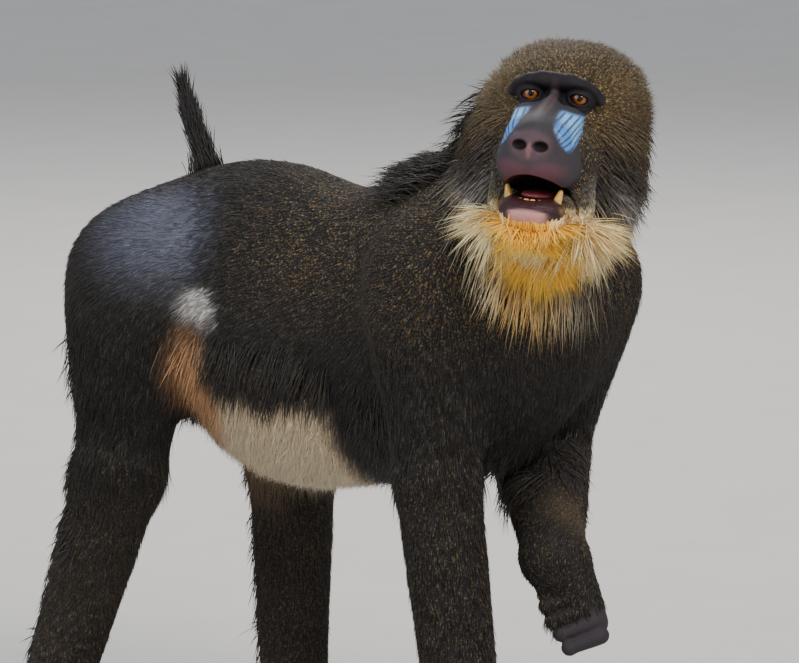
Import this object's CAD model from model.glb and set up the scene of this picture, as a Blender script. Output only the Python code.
import math

import bmesh
import bpy
import numpy as np
from mathutils import Matrix, Vector


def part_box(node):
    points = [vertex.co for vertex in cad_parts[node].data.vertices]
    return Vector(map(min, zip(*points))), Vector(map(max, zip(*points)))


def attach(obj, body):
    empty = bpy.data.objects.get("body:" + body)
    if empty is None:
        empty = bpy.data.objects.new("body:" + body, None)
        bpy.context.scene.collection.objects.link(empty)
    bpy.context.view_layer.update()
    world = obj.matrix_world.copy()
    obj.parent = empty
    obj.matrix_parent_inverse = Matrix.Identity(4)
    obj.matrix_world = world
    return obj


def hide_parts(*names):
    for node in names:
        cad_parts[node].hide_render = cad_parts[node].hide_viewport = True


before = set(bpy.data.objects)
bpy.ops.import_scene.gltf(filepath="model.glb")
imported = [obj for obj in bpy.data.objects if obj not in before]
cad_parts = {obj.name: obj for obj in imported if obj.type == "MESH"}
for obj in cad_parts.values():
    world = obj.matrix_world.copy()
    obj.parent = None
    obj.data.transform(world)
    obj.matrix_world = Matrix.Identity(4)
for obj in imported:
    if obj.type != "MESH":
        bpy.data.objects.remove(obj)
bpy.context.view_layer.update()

# Frames: the animal faces -Y and +X is its left. The head has its own frame between the eyes: x to its left,
# y to the back, z up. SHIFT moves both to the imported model's place, which its eyeballs give.
HEAD_AT = np.array((-0.050, -0.263, 0.6223))
EYE_SPACING = 0.0406
EYE_DEPTH = 0.0025


def turn(yaw, pitch, roll):
    """Rotation matrix from angles in degrees about Z, then X, then Y."""
    spin = Matrix.Rotation(math.radians(yaw), 3, "Z")
    nod = Matrix.Rotation(math.radians(pitch), 3, "X")
    lean = Matrix.Rotation(math.radians(roll), 3, "Y")
    return np.array(spin @ nod @ lean)


HEAD_TURN = turn(-58.5, -6.0, 5.0)
eye_boxes = [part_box("eye_r"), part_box("eye_l")]
between_eyes = np.array([np.array(low) + np.array(high) for low, high in eye_boxes]).sum(axis=0) / 4
SHIFT = between_eyes - HEAD_TURN @ np.array((0.0, EYE_DEPTH, 0.0)) - HEAD_AT


def to_head(points):
    """Points of the animal's frame in the head's own frame."""
    return ((points - HEAD_AT.astype(np.float32)) @ HEAD_TURN).astype(np.float32)


def from_head(points):
    """Points of the head's own frame in the animal's frame."""
    return np.asarray(points, float) @ HEAD_TURN.T + HEAD_AT


# Camera: at the photograph's angle, from the animal's right front and a little above its back, through a long
# lens. It stands free, aimed at the middle of the body.
CAMERA_AZIMUTH = -46.0
CAMERA_ELEVATION = 9.0
CAMERA_DISTANCE = 5.0
FOCAL_PIXELS = 5882.0
IMAGE_WIDTH = 799
CAMERA_AIM = (0.020, -0.020, 0.395)
camera_data = bpy.data.cameras.new("camera")
camera_data.lens = FOCAL_PIXELS * camera_data.sensor_width / IMAGE_WIDTH
camera = bpy.data.objects.new("camera", camera_data)
bpy.context.scene.collection.objects.link(camera)
azimuth = math.radians(CAMERA_AZIMUTH)
elevation = math.radians(CAMERA_ELEVATION)
away = np.array((math.sin(azimuth) * math.cos(elevation), -math.cos(azimuth) * math.cos(elevation),
                 math.sin(elevation)))
aim = np.array(CAMERA_AIM) + SHIFT
camera.location = aim + away * CAMERA_DISTANCE
camera.rotation_euler = Vector(-away).to_track_quat("-Z", "Y").to_euler()
bpy.context.scene.camera = camera


# Floor and light: one wide pale floor under the feet in a pale room, and three large soft lights round the
# animal, the strongest in front of it. None of them belongs to the model.
class Socket:
    """A shader socket that is used in sums. Each operator adds its Math node."""

    def __init__(self, tree, link):
        self.tree = tree
        self.link = link

    def maths(self, operation, *others):
        """A Math node on this value and others."""
        return node(self.tree, "ShaderNodeMath", {"operation": operation}, dict(enumerate((self,) + others)))

    def __add__(self, other):
        return self.maths("ADD", other)

    def __sub__(self, other):
        return self.maths("SUBTRACT", other)

    def __mul__(self, other):
        return self.maths("MULTIPLY", other)

    def __rsub__(self, other):
        return node(self.tree, "ShaderNodeMath", {"operation": "SUBTRACT"}, {0: other, 1: self})

    __radd__ = __add__
    __rmul__ = __mul__

    def smooth(self, low, high):
        """0 below low, 1 above high, eased between them."""
        return node(self.tree, "ShaderNodeMapRange", {"interpolation_type": "SMOOTHSTEP"},
                    {"Value": self, "From Min": low, "From Max": high})


def node(tree, kind, settings=(), inputs=(), output=0):
    """Adds a node, sets its settings first and then its sockets, and gives one of its outputs."""
    added = tree.nodes.new(kind)
    for key, value in dict(settings).items():
        if key == "stops":
            while len(added.color_ramp.elements) < len(value):
                added.color_ramp.elements.new(0.5)
            for stop, (place, colour) in zip(added.color_ramp.elements, value):
                stop.position = place
                stop.color = (*colour, 1.0)
        else:
            setattr(added, key, value)
    for key, value in dict(inputs).items():
        if isinstance(value, Socket):
            tree.links.new(value.link, added.inputs[key])
        else:
            added.inputs[key].default_value = value
    return Socket(tree, added.outputs[output])


def noise(tree, place, scale, detail, **more):
    """A noise texture's value at a place."""
    return node(tree, "ShaderNodeTexNoise", (), {"Vector": place, "Scale": scale, "Detail": detail, **more})


def mix(tree, factor, first, second):
    """One colour passes into another by a factor."""
    pair = [value if isinstance(value, Socket) else (*value, 1.0) for value in (first, second)]
    return node(tree, "ShaderNodeMix", {"data_type": "RGBA"}, {0: factor, 6: pair[0], 7: pair[1]}, 2)


def start_material(name, **constants):
    """A Principled material with its steady values set. Gives the material, its tree and its shader."""
    material = bpy.data.materials.new(name)
    material.use_nodes = True
    shader = material.node_tree.nodes["Principled BSDF"]
    for key, value in constants.items():
        shader.inputs[key.replace("_", " ")].default_value = value
    return material, material.node_tree, shader


def feed(shader, name, value):
    """Links a value into a shader's socket."""
    value.tree.links.new(value.link, shader.inputs[name])


FLOOR_REACH = 9
LIGHT_AIM = (0.0, 0.0, 0.4)
floor_mesh = bpy.data.meshes.new("floor")
floor_corners = [(-FLOOR_REACH, -FLOOR_REACH, 0), (FLOOR_REACH, -FLOOR_REACH, 0),
                 (FLOOR_REACH, FLOOR_REACH, 0), (-FLOOR_REACH, FLOOR_REACH, 0)]
floor_mesh.from_pydata(floor_corners, [], [(0, 1, 2, 3)])
floor = bpy.data.objects.new("floor", floor_mesh)
bpy.context.scene.collection.objects.link(floor)
floor_material, tree, shader = start_material("pale floor", Roughness=0.75)
place = node(tree, "ShaderNodeTexCoord", output=3)
dust = noise(tree, place, 9.0, 6.0)
feed(shader, "Base Color", mix(tree, dust, (0.56, 0.54, 0.51), (0.63, 0.61, 0.58)))
floor_mesh.materials.append(floor_material)
world = bpy.data.worlds.new("room")
world.use_nodes = True
world.node_tree.nodes["Background"].inputs["Color"].default_value = (0.88, 0.92, 1.0, 1.0)
world.node_tree.nodes["Background"].inputs["Strength"].default_value = 0.62
bpy.context.scene.world = world
LIGHTS = (
    ("key light", (-1.2, -3.0, 3.2), 2.2, 185.0, (1.0, 0.97, 0.92)),
    ("fill light", (-3.4, 0.6, 1.6), 2.6, 60.0, (0.92, 0.96, 1.0)),
    ("rim light", (2.4, 2.2, 2.8), 1.6, 90.0, (1.0, 0.98, 0.95)),
)
for name, place, size, power, colour in LIGHTS:
    light_data = bpy.data.lights.new(name, "AREA")
    light_data.size = size
    light_data.energy = power
    light_data.color = colour
    light = bpy.data.objects.new(name, light_data)
    light.location = place
    light.rotation_euler = (Vector(LIGHT_AIM) - Vector(place)).to_track_quat("-Z", "Y").to_euler()
    bpy.context.scene.collection.objects.link(light)


# Skin: one hide over the whole body, under the coat's depth where it is haired and bare on the face, hands
# and soles. It is blended from rounded forms set along the skeleton and meshed finer on face and paws.
HIP = {"r": (-0.058, 0.208, 0.425), "l": (0.058, 0.205, 0.420)}
KNEE = {"r": (-0.088, 0.214, 0.258), "l": (0.082, 0.172, 0.255)}
ANKLE = {"r": (-0.082, 0.300, 0.060), "l": (0.080, 0.168, 0.060)}
SHOULDER = {"r": (-0.078, -0.155, 0.462), "l": (0.072, -0.168, 0.448)}
ELBOW = {"r": (-0.081, -0.161, 0.300), "l": (0.089, -0.121, 0.297)}
WRIST = {"r": (-0.078, -0.192, 0.082), "l": (-0.004, -0.221, 0.232)}
NECK_BASE = (0.0, -0.160, 0.455)
NECK_TOP = (-0.005, -0.205, 0.560)
TAIL_ROUTE = ((0.0, 0.184, 0.485), (0.0, 0.194, 0.520), (0.0, 0.206, 0.545), (0.0, 0.215, 0.567),
              (0.0, 0.224, 0.588))
TAIL_RADII = (0.0150, 0.0115, 0.0090, 0.0070, 0.0040)
FOREARM_RADII = {"r": (0.0385, 0.0340), "l": (0.0430, 0.0310)}
NECK_RADII = (0.100, 0.063)
LOWER_LEG_RADII = (0.040, 0.034)
COAT_DEPTH = 0.0045
PAW_COAT_EXTRA = 0.001
INWARD = {"r": 1.0, "l": -1.0}
TOE_RADIUS = 0.0078
FINGER_RADIUS = 0.0068
TOES = (-0.024, -0.008, 0.008, 0.023)
FINGERS = (-0.021, -0.007, 0.007, 0.020)
PALM_ALONG = np.array((0.010, -0.031, -0.046))
KNUCKLES_ACROSS = np.array((0.204, -0.414, -0.889))
FINGERS_ALONG = np.array((-0.64, 0.66, -0.38))
PALM_OUT = np.array((-0.70, -0.68, 0.16))


def ball(points, centre, radii):
    """Near distance to an ellipsoid: how far the scaled radius is from 1, over its slope."""
    offset = points - np.asarray(centre, np.float32)
    size = np.asarray(radii, np.float32)
    outer = np.linalg.norm(offset / size, axis=-1)
    inner = np.linalg.norm(offset / (size * size), axis=-1) + 1e-9
    return outer * (outer - 1.0) / inner


def along_line(points, start, end):
    """Share of the way along a line, and distance from it."""
    first = np.asarray(start, np.float32)
    run = np.asarray(end, np.float32) - first
    share = np.clip(((points - first) @ run) / (run @ run), 0.0, 1.0)
    return share, np.linalg.norm(points - (first + share[..., None] * run), axis=-1)


def limb(points, start, end, start_radius, end_radius):
    """Distance to a round bar whose radius eases from one end to the other."""
    share, distance = along_line(points, start, end)
    return distance - (start_radius + (end_radius - start_radius) * share * share * (3.0 - 2.0 * share))


def blend(first, second, reach):
    """Union of two fields with a fillet about as wide as reach."""
    share = np.clip(0.5 + 0.5 * (second - first) / reach, 0.0, 1.0)
    return second + (first - second) * share - reach * share * (1.0 - share)


def carve(field, tool, reach):
    """One field less another, with a rounded edge."""
    return -blend(-field, tool, reach)


def mirrored(points):
    """The points folded to the left side, so that one shape serves both sides."""
    folded = points.copy()
    folded[..., 0] = np.abs(folded[..., 0])
    return folded


def ease(value, low, high):
    """0 at low, 1 at high, by a cubic between them."""
    share = np.clip((value - low) / (high - low), 0.0, 1.0)
    return share * share * (3.0 - 2.0 * share)


NECK_BASE_IN_HEAD = to_head(np.array(NECK_BASE, np.float32))
NECK_TOP_IN_HEAD = to_head(np.array(NECK_TOP, np.float32))


def hair_field(points):
    """The mass of crown, cheeks and throat, in the head's frame."""
    half = mirrored(points)
    d = ball(points, (0.0, 0.066, -0.002), (0.060, 0.064, 0.048))
    d = blend(d, ball(points, (0.0, 0.030, 0.008), (0.044, 0.030, 0.021)), 0.012)
    d = blend(d, ball(half, (0.030, 0.050, -0.045), (0.036, 0.050, 0.048)), 0.03)
    return blend(d, ball(points, (0.0, 0.060, -0.078), (0.046, 0.050, 0.038)), 0.03)


def bars(points, route, radii, fillet):
    """A row of bars along a route, joined with fillets."""
    d = limb(points, *route[:2], *radii[:2])
    for number in range(1, len(route) - 1):
        d = blend(d, limb(points, *route[number:number + 2], *radii[number:number + 2]), fillet)
    return d


def tail_bar(points):
    """The raised tail, a row of bars that get thinner."""
    return bars(points, TAIL_ROUTE, TAIL_RADII, 0.004)


def trunk_field(points):
    """Chest, belly, rump, limbs, neck, tail and the hair mass of the head, under the depth of the coat."""
    d = ball(points, (0.0, -0.085, 0.405), (0.096, 0.150, 0.125))
    d = blend(d, ball(points, (0.0, -0.110, 0.462), (0.086, 0.110, 0.076)), 0.03)
    d = blend(d, ball(points, (0.0, 0.060, 0.388), (0.097, 0.160, 0.130)), 0.05)
    d = blend(d, ball(points, (0.0, 0.125, 0.445), (0.080, 0.120, 0.088)), 0.04)
    d = blend(d, ball(points, (0.0, 0.195, 0.428), (0.082, 0.108, 0.080)), 0.03)
    for side in "rl":
        d = blend(d, limb(points, HIP[side], KNEE[side], 0.074, 0.040), 0.03)
        d = blend(d, limb(points, KNEE[side], ANKLE[side], *LOWER_LEG_RADII), 0.02)
        d = blend(d, limb(points, SHOULDER[side], ELBOW[side], 0.062, FOREARM_RADII[side][0]), 0.03)
        d = blend(d, limb(points, ELBOW[side], WRIST[side], *FOREARM_RADII[side]), 0.010)
    d = blend(d, limb(points, NECK_BASE, NECK_TOP, *NECK_RADII), 0.04)
    d = blend(d, tail_bar(points), 0.006)
    in_head = to_head(points)
    d = blend(d, hair_field(in_head), 0.025)
    before_face = ease(in_head[..., 1], 0.030, 0.0) * ease(np.abs(in_head[..., 2] + 0.03), 0.12, 0.08)
    return d + COAT_DEPTH + 0.0025 * before_face


def forearm_field(points, side):
    """A forearm from elbow to wrist, under its short coat."""
    return limb(points, ELBOW[side], WRIST[side], *FOREARM_RADII[side]) + COAT_DEPTH + PAW_COAT_EXTRA


def toe(side, offset):
    """Knuckle, middle joint and tip of a toe by its offset across the foot."""
    ankle = np.array(ANKLE[side])
    across = -INWARD[side] * offset
    bow = abs(offset)
    knuckle = ankle + (across * 0.8, -0.078 + 0.05 * bow, -0.046)
    middle = ankle + (across, -0.108 + 0.25 * bow, -0.047)
    return knuckle, middle, ankle + (across * 1.05, -0.128 + 0.35 * bow, -0.0545)


def foot_field(points, side):
    """A flat-footed hind foot: heel, sole, four toes and a big toe set off to the inner side."""
    ankle = np.array(ANKLE[side])
    inward = INWARD[side]
    d = limb(points, KNEE[side], ankle, *LOWER_LEG_RADII) + COAT_DEPTH + PAW_COAT_EXTRA
    d = blend(d, ball(points, ankle + (0.0, 0.012, -0.034), (0.021, 0.030, 0.024)), 0.014)
    d = blend(d, limb(points, ankle + (0, 0.004, -0.022), ankle + (0, -0.085, -0.044), 0.025, 0.0140), 0.016)
    for offset in TOES:
        knuckle, middle, tip = toe(side, offset)
        d = blend(d, limb(points, knuckle, middle, 0.0112, TOE_RADIUS + 0.0004), 0.005)
        d = blend(d, limb(points, middle, tip, TOE_RADIUS + 0.0006, TOE_RADIUS - 0.0010), 0.003)
    base = ankle + (inward * 0.014, -0.036, -0.044)
    bend = ankle + (inward * 0.040, -0.052, -0.047)
    end = ankle + (inward * 0.049, -0.070, -0.053)
    d = blend(d, limb(points, base, bend, 0.0130, 0.0094), 0.008)
    return blend(d, limb(points, bend, end, 0.0096, 0.0080), 0.003)


def finger(offset):
    """Knuckle, middle joint and tip of a finger of the right hand by its offset across the palm."""
    wrist = np.array(WRIST["r"])
    bow = abs(offset)
    knuckle = wrist + (offset * 0.9, -0.040, -0.060)
    middle = wrist + (offset * 1.1, -0.072 + 0.25 * bow, -0.0725)
    return knuckle, middle, wrist + (offset * 1.15, -0.100 + 0.40 * bow, -0.0762)


def standing_hand_field(points):
    """The right hand on the floor: the palm slopes down from the wrist and the fingers lie forward."""
    wrist = np.array(WRIST["r"])
    d = forearm_field(points, "r")
    d = blend(d, limb(points, wrist + (0, -0.004, -0.012), wrist + (0, -0.042, -0.056), 0.026, 0.0185), 0.016)
    for offset in FINGERS:
        knuckle, middle, tip = finger(offset)
        d = blend(d, limb(points, knuckle, middle, 0.0105, FINGER_RADIUS + 0.0006), 0.005)
        d = blend(d, limb(points, middle, tip, FINGER_RADIUS + 0.0008, FINGER_RADIUS - 0.0008), 0.003)
    thumb = limb(points, wrist + (0.014, -0.016, -0.050), wrist + (0.033, -0.034, -0.0735), 0.0105, 0.0072)
    return blend(d, thumb, 0.006)


def raised_fingers():
    """Knuckle, middle joint and tip of each curled finger of the raised hand."""
    wrist = np.array(WRIST["l"])
    fingers = []
    for number in range(len(FINGERS)):
        across = (number - 1.5) * 0.0132
        knuckle = wrist + PALM_ALONG + KNUCKLES_ACROSS * across + PALM_OUT * 0.004
        middle = knuckle + FINGERS_ALONG * (0.0300 - 0.0012 * abs(number - 1))
        tip = middle - PALM_OUT * 0.017 - FINGERS_ALONG * 0.009
        fingers.append((knuckle, middle, tip))
    return fingers


def raised_hand_field(points):
    """The left hand in the air, with its fingers curled under and its back to the front."""
    wrist = np.array(WRIST["l"])
    d = forearm_field(points, "l")
    palm = wrist + PALM_ALONG * 0.90 - PALM_OUT * 0.004
    for across in (-0.014, 0.0, 0.014):
        d = blend(d, limb(points, wrist, palm + KNUCKLES_ACROSS * across, 0.024, 0.0125), 0.010)
    for knuckle, middle, tip in raised_fingers():
        d = blend(d, limb(points, knuckle, middle, 0.0076, 0.0062), 0.0010)
        d = blend(d, ball(points, middle, (0.0068, 0.0068, 0.0068)), 0.0010)
        d = blend(d, limb(points, middle, tip, 0.0062, 0.0050), 0.0010)
    thumb_base = wrist + PALM_ALONG * 0.35 - KNUCKLES_ACROSS * 0.016 + FINGERS_ALONG * 0.010
    thumb_bend = thumb_base + PALM_ALONG * 0.40 + FINGERS_ALONG * 0.012
    thumb_tip = thumb_bend + PALM_ALONG * 0.30 + FINGERS_ALONG * 0.002
    d = blend(d, limb(points, thumb_base, thumb_bend, 0.0100, 0.0076), 0.006)
    return blend(d, limb(points, thumb_bend, thumb_tip, 0.0078, 0.0062), 0.003)


def mouth_field(points):
    """The open mouth as a hollow under the upper lip, arched at its front and lower at its corners."""
    arch = points.copy()
    arch[..., 2] += 14.0 * points[..., 0] ** 2
    return ball(arch, (0, -0.045, -0.076), (0.0360, 0.060, 0.0165))


BROW_ROUTE = ((0.0, -0.0060, 0.0128), (0.0120, -0.0066, 0.0122), (0.0220, -0.0056, 0.0097),
              (0.0300, -0.0020, 0.0056), (0.0360, 0.0030, 0.0008))
BROW_RADII = (0.0068, 0.0066, 0.0062, 0.0056, 0.0048)
RIDGE_START = (0.0165, -0.008, -0.013)
RIDGE_END = (0.0150, -0.056, -0.029)
BLUE_LINE = ((0.0215, -0.012, -0.0135), (0.0175, -0.060, -0.0325))
GROOVE_LINE = ((0.0205, -0.012, -0.0180), (0.0160, -0.060, -0.0350))
GROOVE_DEGREES = 24.0
EAR_AT = (0.0575, 0.060, -0.004)
EAR_LEAN = -0.55
HALF_EYES = EYE_SPACING / 2
LID_RADIUS = 0.0124
SOCKET_RADIUS = 0.0101


def jaw_field(points):
    """The lower jaw: two branches that meet at the chin, a rolled lip on them, and a hollow within."""
    half = mirrored(points)
    d = limb(half, (0.026, 0.020, -0.082), (0.013, -0.052, -0.0925), 0.0140, 0.0105)
    d = blend(d, limb(points, (0, 0.0, -0.094), (0, -0.050, -0.095), 0.016, 0.0100), 0.010)
    d = blend(d, ball(points, (0, -0.054, -0.0915), (0.0250, 0.0150, 0.0110)), 0.008)
    return carve(d, ball(points, (0, -0.030, -0.0795), (0.0165, 0.034, 0.0065)), 0.003)


def muzzle_field(points):
    """The bare muzzle: a long box with a swollen ridge each side of the nose, nose pad and lips."""
    half = mirrored(points)
    d = limb(points, (0, 0.010, -0.036), (0, -0.060, -0.043), 0.036, 0.0265)
    d = blend(d, limb(half, (0.014, 0.004, -0.054), (0.013, -0.048, -0.0545), 0.026, 0.0200), 0.012)
    d = blend(d, limb(half, RIDGE_START, RIDGE_END, 0.0125, 0.0100), 0.008)
    d = blend(d, limb(points, (0, -0.002, 0.000), (0, -0.072, -0.028), 0.0045, 0.0080), 0.010)
    d = blend(d, ball(points, (0, -0.079, -0.0385), (0.0130, 0.0110, 0.0105)), 0.006)
    d = blend(d, ball(half, (0.0120, -0.0785, -0.0385), (0.0062, 0.0090, 0.0075)), 0.004)
    return blend(d, ball(points, (0, -0.068, -0.0525), (0.025, 0.017, 0.012)), 0.010)


def brow_field(half):
    """The bare arched bar over both eyes, on points folded to one side."""
    return bars(half, BROW_ROUTE, BROW_RADII, 0.003)


def face_field(points):
    """The head in its own frame, haired parts under the coat: muzzle, brow, lids, nostrils, lips, jaw."""
    half = mirrored(points)
    neck = limb(points, NECK_BASE_IN_HEAD, NECK_TOP_IN_HEAD, *NECK_RADII)
    hair = blend(hair_field(points), neck, 0.025) + COAT_DEPTH
    face = blend(hair, muzzle_field(points), 0.010)
    face = blend(face, limb(half, (0.0255, -0.016, -0.055), (0.0285, -0.012, -0.086), 0.0160, 0.0150), 0.010)
    face = blend(face, brow_field(half), 0.006)
    face = carve(face, ball(half, (HALF_EYES, -0.011, -0.001), (0.0145, 0.013, 0.0085)), 0.006)
    lids = ball(half, (HALF_EYES, EYE_DEPTH, 0.0), (LID_RADIUS,) * 3)
    slit = half.copy()
    slit[..., 2] += 0.10 * (half[..., 0] - HALF_EYES)
    lids = carve(lids, ball(slit, (HALF_EYES, -0.012, -0.0010), (0.0090, 0.012, 0.0040)), 0.0012)
    face = blend(face, lids, 0.0025)
    face = carve(face, ball(half, (HALF_EYES, EYE_DEPTH, 0.0), (SOCKET_RADIUS,) * 3), 0.0005)
    face = carve(face, ball(half, (0.0088, -0.0890, -0.0390), (0.0066, 0.0085, 0.0045)), 0.0016)
    face = carve(face, ball(points, (0, -0.0925, -0.0480), (0.0012, 0.0045, 0.0070)), 0.002)
    face = carve(face, mouth_field(points), 0.003)
    face = blend(face, jaw_field(points), 0.003)
    return face + 0.010 * ease(points[..., 1], 0.012, 0.040)


def ear_field(points):
    """Both ear cups in the head's frame, standing off the sides of the head under the hair."""
    offset = mirrored(points) - np.array(EAR_AT, np.float32)
    cosine = math.cos(EAR_LEAN)
    sine = math.sin(EAR_LEAN)
    own = np.stack([offset[..., 0] * cosine + offset[..., 1] * sine,
                    -offset[..., 0] * sine + offset[..., 1] * cosine, offset[..., 2]], axis=-1)
    d = ball(own, (0, 0, 0), (0.0070, 0.0130, 0.0165))
    return carve(d, ball(own, (0.0070, -0.002, 0.001), (0.0060, 0.0085, 0.0115)), 0.002)


def surface_net(field, low, high, step):
    """Points and four-sided faces of a field's zero surface.

    Each grid cell that the surface crosses gets a point at the mean of its crossed edges, and each crossed
    edge a face between the four cells round it. What reaches the sides of the grid is closed off there.
    """
    axes = [np.arange(low[i], high[i] + step, step, dtype=np.float32) for i in range(3)]
    grid = np.stack(np.meshgrid(*axes, indexing="ij"), axis=-1)
    value = np.full(grid.shape[:3], step)
    core = (slice(1, -1),) * 3
    value[core] = field(grid[core])
    inside = value < 0.0
    cells = tuple(size - 1 for size in value.shape)
    total = np.zeros((int(np.prod(cells)), 3))
    count = np.zeros(len(total))
    quads = []
    for axis in range(3):
        near = tuple(slice(None, -1) if i == axis else slice(None) for i in range(3))
        far = tuple(slice(1, None) if i == axis else slice(None) for i in range(3))
        crossed = inside[near] != inside[far]
        corner = np.argwhere(crossed)
        start = value[near][crossed]
        place = corner.astype(float)
        place[:, axis] += start / (start - value[far][crossed])
        one, two = [i for i in range(3) if i != axis]
        ring = []
        for back_one, back_two in ((1, 1), (0, 1), (0, 0), (1, 0)):
            cell = corner.copy()
            cell[:, one] -= back_one
            cell[:, two] -= back_two
            index = np.ravel_multi_index(tuple(cell.T), cells)
            for k in range(3):
                total[:, k] += np.bincount(index, place[:, k], len(total))
            count += np.bincount(index, minlength=len(total))
            ring.append(index)
        ring = np.stack(ring, axis=1)
        flip = inside[near][crossed] == (axis == 1)
        ring[flip] = ring[flip][:, ::-1]
        quads.append(ring)
    used = count > 0
    number = np.cumsum(used) - 1
    points = (np.array(low) + step * total[used] / count[used][:, None]).astype(np.float32)
    for _ in range(2):
        value = field(points)
        slopes = [field(points + 0.0004 * axis) - value for axis in np.eye(3, dtype=np.float32)]
        slope = np.stack(slopes, axis=-1)
        slope /= np.linalg.norm(slope, axis=-1, keepdims=True) + 1e-9
        points = points - slope * np.where(np.abs(value) < 0.002, value, 0.0)[..., None]
    return points, number[np.concatenate(quads)]


def add_piece(name, points, faces, material=None):
    """Adds a mesh whose faces are arrays of three or four corners, with its place in its mesh."""
    mesh = bpy.data.meshes.new(name)
    groups = faces if isinstance(faces, (list, tuple)) else [faces]
    mesh.vertices.add(len(points))
    mesh.vertices.foreach_set("co", (points + SHIFT).astype(np.float32).ravel())
    loops = np.concatenate([group.ravel() for group in groups]).astype(np.int32)
    sizes = np.concatenate([np.full(len(group), group.shape[1]) for group in groups])
    mesh.loops.add(len(loops))
    mesh.loops.foreach_set("vertex_index", loops)
    mesh.polygons.add(len(sizes))
    mesh.polygons.foreach_set("loop_start", (np.cumsum(sizes) - sizes).astype(np.int32))
    mesh.update(calc_edges=True)
    mesh.validate()
    mesh.shade_smooth()
    if material:
        mesh.materials.append(material)
    piece = bpy.data.objects.new(name, mesh)
    bpy.context.scene.collection.objects.link(piece)
    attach(piece, "root")
    return piece


def add_numbers(mesh, name, kind, values):
    """Stores one value for each point of a mesh."""
    layer = mesh.attributes.new(name, kind, "POINT")
    if kind == "FLOAT_COLOR":
        values = np.concatenate([values, np.ones((len(values), 1))], axis=1)
        layer.data.foreach_set("color", values.astype(np.float32).ravel())
    else:
        layer.data.foreach_set("value", values.astype(np.float32))


BODY_STEP = 0.0062
FACE_STEP = 0.0016
PAW_STEP = 0.0025
SOLE_HEIGHT = 0.0003
shells = [
    (trunk_field, (-0.19, -0.36, -0.01), (0.19, 0.36, 0.70), BODY_STEP, False),
    (face_field, (-0.076, -0.108, -0.116), (0.076, 0.046, 0.045), FACE_STEP, True),
    (ear_field, (-0.085, 0.030, -0.030), (0.085, 0.085, 0.022), FACE_STEP, True),
    (standing_hand_field, (-0.140, -0.320, -0.012), (-0.020, -0.130, 0.125), PAW_STEP, False),
    (raised_hand_field, (-0.070, -0.330, 0.120), (0.060, -0.180, 0.260), PAW_STEP, False),
    (lambda p: tail_bar(p) + COAT_DEPTH, (-0.030, 0.160, 0.480), (0.030, 0.250, 0.610), PAW_STEP, False),
    (lambda p: foot_field(p, "r"), (-0.140, 0.150, -0.012), (-0.020, 0.350, 0.105), PAW_STEP, False),
    (lambda p: foot_field(p, "l"), (0.020, 0.020, -0.012), (0.140, 0.220, 0.105), PAW_STEP, False),
]
skin_points = []
skin_faces = []
start = 0
for field, low, high, step, own_frame in shells:
    points, faces = surface_net(field, low, high, step)
    points = from_head(points) if own_frame else points.astype(float)
    points[:, 2] = np.maximum(points[:, 2], SOLE_HEIGHT)
    skin_points.append(points)
    skin_faces.append(faces + start)
    start += len(points)
skin_points = np.concatenate(skin_points)
skin_faces = np.concatenate(skin_faces)


def near(points, centre, radii, soft=0.35):
    """1 in the middle of an ellipsoid patch and 0 outside it, eased over a share of its radius."""
    size = np.linalg.norm((points - np.array(centre)) / np.array(radii), axis=-1)
    return ease(size, 1.0 + soft, 1.0 - soft)[..., None]


def tinted(colours, share, colour):
    """Colours passed towards one colour by a share."""
    return colours + (np.array(colour) - colours) * share


def bare_share(in_head):
    """1 on the bare face, 0 where it is haired: muzzle, brow, lids, lips and chin against the hair mass."""
    fold = mirrored(in_head)
    muzzle = muzzle_field(in_head)
    muzzle = np.minimum(muzzle, brow_field(fold) - 0.0010)
    muzzle = np.minimum(muzzle, ball(fold, (HALF_EYES, -0.004, -0.002), (0.019, 0.016, 0.013)))
    chin = ball(in_head, (0, -0.050, -0.0945), (0.026, 0.030, 0.017))
    front = np.maximum(ease(in_head[..., 1], -0.030, -0.044), ease(fold[..., 0], 0.0315, 0.0270))
    front = np.maximum(front, ease(in_head[..., 2], -0.016, -0.006))
    share = np.maximum(ease(muzzle, 0.0035, 0.0005) * front, ease(chin, 0.004, 0.0))
    return share * ease(in_head[..., 1], 0.016, 0.000) * ease(np.abs(in_head[..., 2] + 0.03), 0.12, 0.10)


def unit(vectors):
    """Vectors of length 1."""
    return vectors / (np.linalg.norm(vectors, axis=-1, keepdims=True) + 1e-12)


def sway(points, size, seed):
    """A smooth random direction that changes over about one size: six sines, each along its own way."""
    draw = np.random.default_rng(seed)
    total = np.zeros((len(points), 3))
    for _ in range(6):
        wave = draw.normal(0.0, 1.0, 3) * 2.0 * math.pi / size
        total += np.sin(points @ wave + draw.uniform(0, 6.28))[:, None] * draw.normal(0.0, 1.0, 3)
    return total / 3.5


def blue_limit(in_head):
    """1 where the cheek ridges are blue: off the bridge, under the eyes, and in front of the cheek hair."""
    fold = np.abs(in_head[:, 0])
    return (ease(fold, 0.0070, 0.0105) * ease(in_head[:, 1], 0.004, -0.006)
            * ease(in_head[:, 2] + 0.25 * (fold - 0.02), -0.0100, -0.0135)
            * ease(in_head[:, 2] - 0.45 * (fold - 0.02), -0.050, -0.043))


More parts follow.
